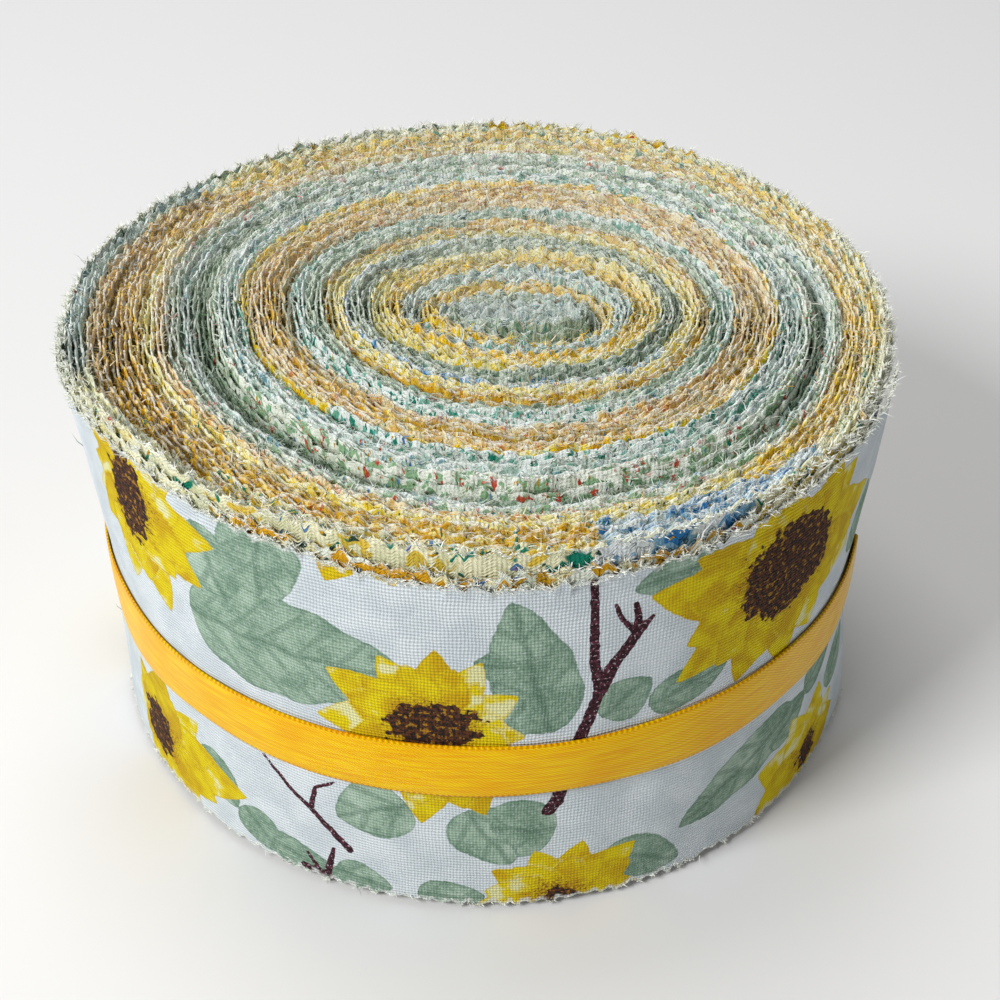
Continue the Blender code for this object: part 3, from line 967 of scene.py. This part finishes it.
# The two strips just inside it stand proud of it and show their faces
innerStrips = (
    {
        "name": "second_strip",
        "start": -290.0,
        "inset": 0.42 * mm,
        "rise": (0.55, 1.0, 0.25),
        "looks": ((-181, "cream"), (-70, "cream"), (-34, "whiteGold"), (36, "creamTeal"), (60, "cream")),
        "lift": 0.3 * mm,
        "seed": 41,
    },
    {
        "name": "third_strip",
        "start": -262.0,
        "inset": 0.95 * mm,
        "rise": (0.35, 0.78, 1.0),
        "looks": (
            (-181, "paleBlue"),
            (-70, "cream"),
            (-42, "creamTeal"),
            (14, "blueWhite"),
            (36, "creamTeal"),
            (60, "yellow"),
        ),
        "lift": 1.7 * mm,
        "seed": 43,
    },
)
stripEdge = {"step": 0.48, "rows": 12, "below": 7.0 * mm, "tooth": 2.5 * mm, "toothDepth": 1.3 * mm}


def innerStrip(settings):
    azimuths = np.arange(settings["start"], settings["start"] + 360.01, stripEdge["step"])
    random = np.random.default_rng(settings["seed"])
    along = (azimuths - settings["start"]) * perDegree * mm
    tooth, vary = teethAt(along, stripEdge["tooth"], random)
    table = around(wallRows, azimuths)
    base, edgeShare, proudShare = settings["rise"]
    level = stripWidth + (base + edgeShare * table[..., 4] + proudShare * table[..., 5]) * mm
    level = level + settings["lift"] * near(wrapped(azimuths + 8), 0.0, 75.0)
    level = level + waves(along, (0.03, 0.05), settings["seed"] + 1) * 0.25 * mm
    top = level + (tooth - 0.6) * stripEdge["toothDepth"] + vary[:, 0] * 0.3 * mm
    foot = level - stripEdge["below"]
    share = np.linspace(0, 1, stripEdge["rows"])[None, :]
    plain = (level - 0.8 * mm)[:, None]
    height = mix(foot[:, None], plain, share) + (top[:, None] - plain) * ease((share - 0.7) / 0.3)
    azimuth = np.broadcast_to(azimuths[:, None], height.shape)
    under = outerSurface(np.where(azimuth > 60, azimuth - 360, azimuth), np.minimum(height, stripWidth))
    flop = (vary[:, 1] * 0.2)[:, None] * ease((share - 0.6) / 0.4) * mm
    radius = under - settings["inset"] + flop
    points = surfacePoints(azimuth, radius, height)
    turned = wrapped(azimuths)
    names = [name for first, name in settings["looks"]]
    firsts = np.array([first for first, name in settings["looks"]])
    which = np.clip(np.searchsorted(firsts, turned, side="right") - 1, 0, len(names) - 1)
    colours = np.array([[(*hexColour(colour), 1.0) for colour in prints[name][:3]] for name in names])
    amounts = np.array([prints[name][3:] for name in names])
    chosen = np.repeat(colours[which][:, None], stripEdge["rows"], axis=1)
    amount = np.repeat(amounts[which][:, None], stripEdge["rows"], axis=1)
    wide = np.concatenate([amount, np.zeros((*amount.shape[:2], 1))], axis=2)
    number = np.full_like(height, settings["seed"])
    cloth = np.stack([azimuth * perDegree * mm, height - top[:, None], number], axis=-1)
    values = {
        "cloth": cloth.reshape(-1, 3),
        "amounts": wide.reshape(-1, 3),
        "ground": chosen[:, :, 0].reshape(-1, 4),
        "figure": chosen[:, :, 1].reshape(-1, 4),
        "detail": chosen[:, :, 2].reshape(-1, 4),
        "hollowShade": np.zeros(height.size),
    }
    faces = gridFaces(len(azimuths), stripEdge["rows"])
    piece = makePiece(settings["name"], points, faces, faceCloth, values)
    return azimuths, radius[:, -1], top, tooth


faceCloth = clothMaterial("face_cloth", True)
innerEdges = [innerStrip(settings) for settings in innerStrips]
print("inner strips made", sum(triangles.values()))


# The ribbon, wound once and lapped flat at the back
ribbon = {
    "start": -191.0,
    "end": 191.0,
    "step": 0.5,
    "thick": 0.32 * mm,
    "off": 0.25 * mm,
    "lapFrom": 165,
    "lapEase": 6,
    "lapRise": 0.55 * mm,
    "crown": 0.1 * mm,
}


def satinMaterial():
    graph = Graph("satin")
    cloth = graph.vector("cloth")
    along, up = graph.axes(cloth)[:2]
    soft = graph.noise(cloth, 90.0, 2.0)
    streak = graph.noise(graph.joined(along * 0.15, up * 3.0, 0.0), 900.0, 2.0)
    colour = graph.mix("f4b200", "fcd000", graph.step(streak, 0.35, 0.65))
    colour = graph.mix(colour, "f0a000", graph.step(soft, 0.5, 0.75) * 0.4)
    diagonal = graph.sine((along * 0.8 + up * 1.3) * (fullTurn / 0.0006))
    twill = graph.mix((0.86, 0.82, 0.6), plainWhite, graph.step(diagonal, -0.9, 0.3))
    colour = graph.tint(colour, 1.0, twill)
    rim = graph.step(abs(up), 0.00425, 0.0045)
    dots = graph.sine(along * (fullTurn / 0.0008))
    stitches = graph.mix((0.78, 0.62, 0.4), plainWhite, graph.step(dots, -0.4, 0.5))
    colour = graph.tint(colour, rim, stitches)
    normal = graph.bump(diagonal * 0.6 + dots * rim * 1.2 + streak, 0.35, 0.00012)
    rough = graph.step(soft, 0.3, 0.7, 0.3, 0.42)
    inputs = {"Base Color": colour, "Roughness": rough, "Normal": normal}
    return graph.finish(inputs | {"Specular IOR Level": 0.4, "Specular Tint": (1.0, 0.72, 0.1)})


def ribbonBand(material):
    azimuths = np.arange(ribbon["start"], ribbon["end"] + 0.01, ribbon["step"])
    lapped = ease((azimuths - ribbon["lapFrom"]) / ribbon["lapEase"]) * ribbon["lapRise"]
    wave = waves(azimuths * perDegree * mm, (0.04, 0.07), 51) * 0.12 * mm
    middle = ribbonMiddle(azimuths) + wave * 0.5
    section = []
    half = ribbonWidth / 2
    for place in (-1.0, -0.93, -0.5, 0.0, 0.5, 0.93, 1.0):
        section.append((place, 1.0 if abs(place) < 0.97 else 0.75))
    for place in (1.0, 0.5, 0.0, -0.5, -1.0):
        section.append((place, 0.0))
    rings = []
    cloth = []
    for place, out in section:
        height = middle + half * place
        under = np.where(azimuths > endAzimuth + 13, azimuths - 360, azimuths)
        wall = outerSurface(np.where(under < outer["start"], under + 360, under), height)
        over = np.interp(wrapped(azimuths), (48, 60, 75, 82), (0, 0.1, 0.35, 0)) * mm
        crown = (1 - place * place) * ribbon["crown"]
        radius = wall + ribbon["off"] + lapped + over + ribbon["thick"] * out + crown
        rings.append(surfacePoints(azimuths, radius, height))
        level = np.full_like(azimuths, half * place)
        cloth.append(np.stack([azimuths * perDegree * mm, level, np.zeros_like(azimuths)], axis=1))
    points = np.stack(rings, axis=1)
    rows = len(section)
    faces = gridFaces(len(azimuths), rows, True).tolist()
    faces.append(list(range(rows)))
    faces.append([(len(azimuths) - 1) * rows + index for index in range(rows - 1, -1, -1)])
    values = {"cloth": np.stack(cloth, axis=1).reshape(-1, 3)}
    piece = makePiece("ribbon_band", points, faces, material, values)
    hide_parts("ribbon")


ribbonBand(satinMaterial())
print("ribbon made", sum(triangles.values()))


# Frayed threads along every cut edge
def frayMaterial():
    graph = Graph("fray")
    colour = graph.mix(graph.colour("ground"), "f6f7f2", graph.value("white"))
    return graph.finish({"Base Color": colour, "Roughness": 0.9, "Specular IOR Level": 0.2})


def tufts(name, roots, directions, lengths, widths, values, material):
    # Thin tapered threads, each a bent blade of two faces, with the values of the cloth at its root
    random = np.random.default_rng(len(roots))
    count = len(roots)
    directions = directions / np.linalg.norm(directions, axis=1, keepdims=True)
    bend = random.normal(0, 0.45, (count, 3))
    aside = np.cross(directions, random.normal(0, 1, (count, 3)))
    aside = aside / np.linalg.norm(aside, axis=1, keepdims=True)
    middle = roots + directions * lengths[:, None] * 0.55
    tip = middle + (directions + bend) * lengths[:, None] * 0.45
    half = aside * widths[:, None] / 2
    points = np.stack([roots - half, roots + half, middle - half * 0.8, middle + half * 0.8, tip], axis=1)
    base = np.arange(count)[:, None] * 5
    quads = np.concatenate([base, base + 1, base + 3, base + 2], axis=1)
    tips = np.concatenate([base + 2, base + 3, base + 4], axis=1)
    faces = quads.tolist() + tips.tolist()
    repeated = {key: np.repeat(part, 5, axis=0) for key, part in values.items()}
    piece = makePiece(name, points, faces, material, repeated)


frayLook = frayMaterial()
fray = {"upper": 50000, "outer": 15000, "seed": 61}
# The cloth's values that a thread repeats, its painted hollow shade among them, and how many numbers each has
fibreValues = (("cloth", 3), ("amounts", 3), ("ground", 4), ("figure", 4), ("detail", 4), ("hollowShade", 1))


def upperFray():
    random = np.random.default_rng(fray["seed"])
    tips = upperTips
    weight = 0.3 + tips["tooth"]
    picks = random.choice(len(weight), fray["upper"], p=weight / weight.sum())
    spread = random.normal(0, 0.25 * mm, (len(picks), 2))
    rootX, rootY = tips["x"][picks] + spread[:, 0], tips["y"][picks] + spread[:, 1]
    roots = np.stack([rootX, rootY, tips["tip"][picks] - 0.3 * mm], axis=1)
    side = random.normal(0, 0.5, len(picks))
    ahead = random.normal(0, 1.1, len(picks))
    outX, outY = tips["outX"][picks], tips["outY"][picks]
    rise = random.uniform(0, 0.8, len(picks))
    directions = np.stack([outX * side - outY * ahead, outY * side + outX * ahead, rise], axis=1)
    lengths = random.uniform(0.5, 1.9, len(picks)) * mm
    widths = random.uniform(0.08, 0.17, len(picks)) * mm
    values = {key: edgeValues[key].reshape(-1, 4, wide)[picks, 1] for key, wide in fibreValues}
    values["cloth"][:, 1] = -0.5 * mm
    values["hollowShade"] = values["hollowShade"].ravel()
    values["white"] = random.uniform(0, 1, len(picks)) ** 2.2 * 0.9
    for index in range(2):
        part = slice(index * len(picks) // 2, (index + 1) * len(picks) // 2)
        chosen = {key: numbers[part] for key, numbers in values.items()}
        name = f"upper_fray_{index + 1}"
        tufts(name, roots[part], directions[part], lengths[part], widths[part], chosen, turnCloth)


def outerFray():
    # White tufts on the outermost strips' cut edges, thickest at the tooth tips
    random = np.random.default_rng(fray["seed"] + 1)
    groups = [
        (outerAzimuths, outerSurface(outerAzimuths, outerTop), outerTop, outerTooth, 1.0, 0.5),
        (outerAzimuths, outerSurface(outerAzimuths, outerFoot), outerFoot, outerTooth, -1.0, 0.16),
    ]
    for azimuths, radius, level, tooth in innerEdges:
        groups.append((azimuths, radius, level, tooth, 1.0, 0.22))
    roots, directions = [], []
    for azimuths, radius, level, tooth, upwards, part in groups:
        count = int(fray["outer"] * part)
        weight = (0.12 + tooth**2) * np.gradient(azimuths)
        picks = random.choice(len(azimuths), count, p=weight / weight.sum())
        place = azimuths[picks] + random.normal(0, 0.25, count)
        height = level[picks] - upwards * random.uniform(0.0, 0.7, count) * mm
        turn = np.radians(place)
        outwards = np.stack([np.sin(turn), -np.cos(turn), np.zeros(count)], axis=1)
        sideways = np.stack([np.cos(turn), np.sin(turn), np.zeros(count)], axis=1)
        roots.append(surfacePoints(place, radius[picks], np.maximum(height, 0.25 * mm)))
        rise = 0.45 if upwards > 0 else -0.1
        away = outwards * random.uniform(-0.5, 1.0, (count, 1)) + sideways * random.normal(0, 0.6, (count, 1))
        directions.append(away + np.array([0, 0, rise]))
    roots, directions = np.concatenate(roots), np.concatenate(directions)
    count = len(roots)
    values = {
        "ground": np.tile(np.array([(*hexColour("e6ead8"), 1.0)]), (count, 1)),
        "white": random.uniform(0.3, 1.0, count),
    }
    lengths = random.uniform(0.4, 1.35, count) * mm
    low = roots[:, 2] < 3 * mm
    lengths[low] *= 0.6
    directions[low, 2] = np.abs(directions[low, 2])
    widths = random.uniform(0.09, 0.2, count) * mm
    tufts("outer_fray", roots, directions, lengths, widths, values, frayLook)


# Longer stray threads: azimuth, height, length, heading (degrees, 0 right, 90 up), out
strays = (
    (-76, 49.0, 2.6, 150, 0.9),
    (-74, 18.5, 2.2, 165, 0.8),
    (-60, 66.2, 3.4, 60, 0.5),
    (-28, 65.0, 3.0, 115, 0.4),
    (4, 63.5, 3.6, 40, 0.5),
    (27, 64.5, 4.2, 100, 0.4),
    (46, 66.0, 3.8, 70, 0.6),
    (70, 65.0, 2.8, 20, 0.8),
    (-100, 64.5, 2.6, 100, 0.8),
    (-18, 0.9, 2.6, 20, 0.9),
    (33, 0.8, 2.4, 160, 0.9),
    (150, 63.5, 3.2, 80, 0.7),
)


def strayThreads():
    table = np.array(strays, float)
    azimuths, heights = table[:, 0], table[:, 1] * mm
    turn, heading = np.radians(azimuths), np.radians(table[:, 3])
    level = np.zeros_like(turn)
    outwards = np.stack([np.sin(turn), -np.cos(turn), level], axis=1) * table[:, 4:5]
    sideways = np.stack([np.cos(turn), np.sin(turn), level], axis=1) * np.cos(heading)[:, None]
    upwards = np.outer(np.sin(heading), (0, 0, 1))
    roots = surfacePoints(azimuths, outerSurface(azimuths, np.minimum(heights, stripWidth)), heights)
    values = {
        "ground": np.tile(np.array([(*hexColour("8f9a96"), 1.0)]), (len(table), 1)),
        "white": np.where(np.arange(len(table)) < 2, 0.0, 0.8),
    }
    widths = np.full(len(table), 0.17 * mm)
    tufts("stray_threads", roots, outwards + sideways + upwards, table[:, 2] * mm, widths, values, frayLook)


upperFray()
outerFray()
strayThreads()
print("fray made", sum(triangles.values()))


# Studio: pale floor, white surroundings, a large soft light from the upper left
def studio():
    floor = bpy.data.meshes.new("floor")
    size = 3.0
    corners = [(-size, -size, 0), (size, -size, 0), (size, size, 0), (-size, size, 0)]
    floor.from_pydata(corners, [], [(0, 1, 2, 3)])
    graph = Graph("floor_paper")
    paper = {"Base Color": (0.78, 0.78, 0.78), "Roughness": 0.9}
    paper |= {"Emission Color": plainWhite, "Emission Strength": 0.05}
    floor.materials.append(graph.finish(paper))
    piece = bpy.data.objects.new("floor", floor)
    bpy.context.scene.collection.objects.link(piece)
    piece.location.z = -0.0002
    world = bpy.data.worlds.new("studio")
    world.use_nodes = True
    world.node_tree.nodes["Background"].inputs[0].default_value = (1.0, 1.0, 1.0, 1.0)
    world.node_tree.nodes["Background"].inputs[1].default_value = 0.2
    bpy.context.scene.world = world
    lights = (
        ("key", (-0.64, -0.5, 0.72), 0.35, 9.2),
        ("top", (-0.1, 0.3, 0.9), 0.5, 3.4),
    )
    for name, place, width, power in lights:
        data = bpy.data.lights.new(name, "AREA")
        data.size = width
        data.energy = power
        lamp = bpy.data.objects.new(name, data)
        lamp.location = place
        lamp.rotation_euler = (Vector((0, 0, 0.04)) - Vector(place)).to_track_quat("-Z", "Y").to_euler()
        bpy.context.scene.collection.objects.link(lamp)


studio()
bpy.context.scene.view_settings.view_transform = "Standard"

# Camera, fitted to the photo
camera = {
    "rise": 38.8537,
    "distance": 0.28569,
    "aim": (0.002386, 0.0, 0.027804),
    "roll": 0.2219,
    "lens": 64.8,
    "sensor": 36,
}


def makeCamera():
    rise, roll = math.radians(camera["rise"]), math.radians(camera["roll"])
    forward = Vector((0, math.cos(rise), -math.sin(rise)))
    side = Vector((1, 0, 0))
    up = side.cross(forward)
    right = math.cos(roll) * side + math.sin(roll) * up
    above = -math.sin(roll) * side + math.cos(roll) * up
    data = bpy.data.cameras.new("camera")
    data.sensor_width = camera["sensor"]
    data.lens = camera["lens"]
    made = bpy.data.objects.new("camera", data)
    bpy.context.scene.collection.objects.link(made)
    place = Vector(camera["aim"]) - camera["distance"] * forward
    turned = Matrix((right, above, -forward)).transposed().to_4x4()
    made.matrix_world = Matrix.Translation(place) @ turned
    bpy.context.scene.camera = made


makeCamera()

print("triangles", sum(triangles.values()), triangles)
